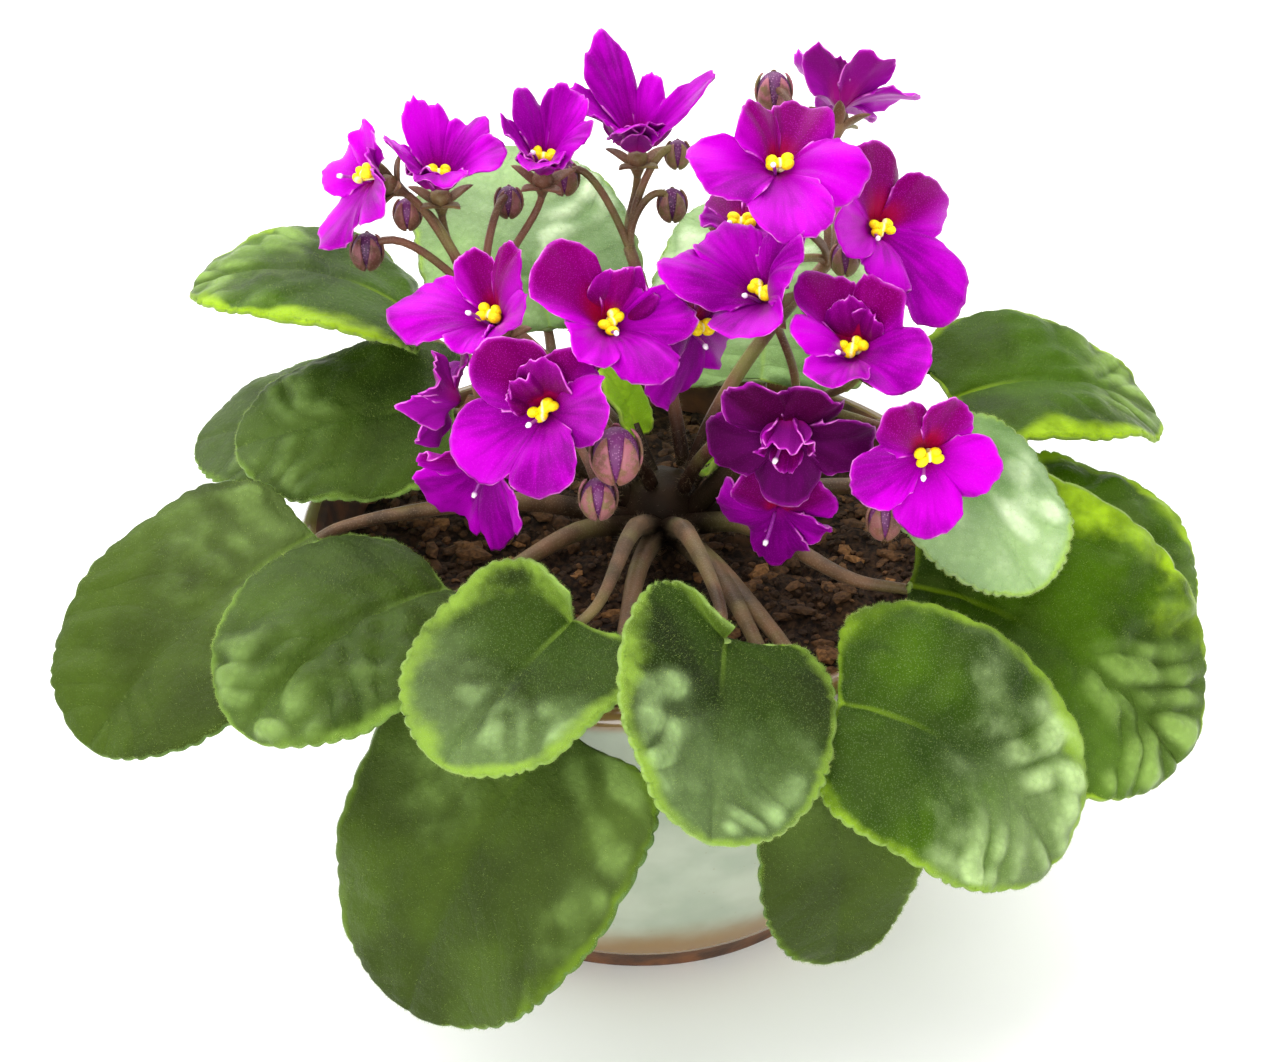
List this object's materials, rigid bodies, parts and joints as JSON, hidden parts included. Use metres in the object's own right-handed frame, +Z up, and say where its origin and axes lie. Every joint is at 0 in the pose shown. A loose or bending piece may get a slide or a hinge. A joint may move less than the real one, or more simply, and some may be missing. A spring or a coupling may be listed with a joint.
{
  "type": "potted african violet",
  "caption": "Flowering potted plant with a rosette of round scalloped leaves, branching flower stalks with purple blooms and buds, growing in a glazed round pot of soil.",
  "frame": {"origin": "centre of the underside of the pot's foot, on the surface it stands on", "axes": "+Z up along the pot's axis, -Y towards the viewer of the picture, +X to the viewer's right"},
  "size_m": [0.2049, 0.181, 0.1592],
  "materials": {
    "glaze": "pale grey-green glaze, glossy, with a bare brown foot",
    "soil": "dark crumbly potting soil, matt",
    "petiole": "hairy purple-brown leaf stalks, satin",
    "leaf": "velvety mid-green leaf with paler scalloped edge",
    "stalk": "hairy pinkish-brown flower stalks, calyces and buds",
    "petal": "magenta-purple petals with a fine pale edge, soft sheen",
    "anther": "bright yellow anthers, satin"
  },
  "bodies": {
    "root": {"pot": "glaze", "soil": "soil", "crown": "petiole", "leaf_01": "leaf", "leaf_02": "leaf", "leaf_03": "leaf", "leaf_04": "leaf", "leaf_05": "leaf", "leaf_06": "leaf", "leaf_07": "leaf", "leaf_08": "leaf", "leaf_09": "leaf", "leaf_10": "leaf", "leaf_11": "leaf", "leaf_12": "leaf", "leaf_13": "leaf", "leaf_14": "leaf", "leaf_15": "leaf", "leaf_16": "leaf", "stalk_1": "stalk", "stalk_2": "stalk", "stalk_3": "stalk", "stalk_4": "stalk", "stalk_5": "stalk", "bloom_01": "petal", "bloom_02": "petal", "bloom_03": "petal", "bloom_04": "petal", "bloom_05": "petal", "bloom_06": "petal", "bloom_07": "petal", "bloom_08": "petal", "bloom_09": "petal", "bloom_10": "petal", "bloom_11": "petal", "bloom_12": "petal", "bloom_13": "petal", "bloom_14": "petal", "bloom_15": "petal", "bloom_16": "petal", "bloom_17": "petal", "bloom_18": "petal", "bloom_19": "petal", "stamens_01": "anther", "stamens_02": "anther", "stamens_03": "anther", "stamens_04": "anther", "stamens_05": "anther", "stamens_06": "anther", "stamens_07": "anther", "stamens_08": "anther", "stamens_09": "anther", "stamens_10": "anther", "stamens_11": "anther", "stamens_12": "anther", "stamens_14": "anther", "stamens_15": "anther", "stamens_16": "anther", "stamens_17": "anther", "stamens_18": "anther"}
  },
  "joints": []
}
